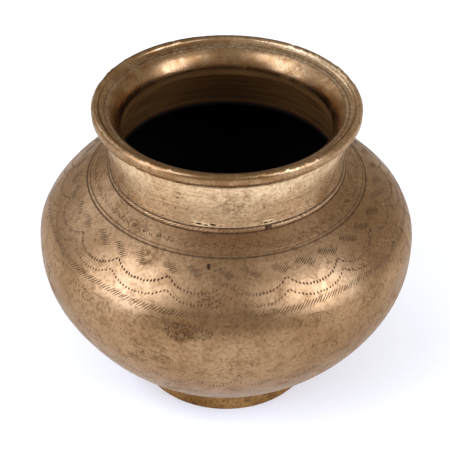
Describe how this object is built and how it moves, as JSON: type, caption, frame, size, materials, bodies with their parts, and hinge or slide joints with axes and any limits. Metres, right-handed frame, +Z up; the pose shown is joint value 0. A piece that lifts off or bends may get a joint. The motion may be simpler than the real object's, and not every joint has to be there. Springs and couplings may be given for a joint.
{
  "type": "lota water pot",
  "caption": "Round-bellied brass lota with a short neck, flared rolled rim, roped neck ring and low ring foot, for carrying and pouring water.",
  "frame": {"origin": "on the pot's axis, in the plane of the table that the foot ring rests on", "axes": "+Z up along the pot's axis, towards the mouth; +X to the right and +Y away, seen from the front"},
  "size_m": [0.15, 0.15, 0.128],
  "materials": {
    "body_brass": "aged satin",
    "neck_brass": "aged satin",
    "bead_brass": "aged satin",
    "foot_brass": "aged satin",
    "braze": "dull"
  },
  "bodies": {
    "root": {"neck_rim": "neck_brass", "neck_bead": "bead_brass", "neck_braze": "braze", "shoulder": "body_brass", "belly_braze": "braze", "bowl": "body_brass", "foot_braze": "braze", "foot_ring": "foot_brass"}
  },
  "joints": []
}
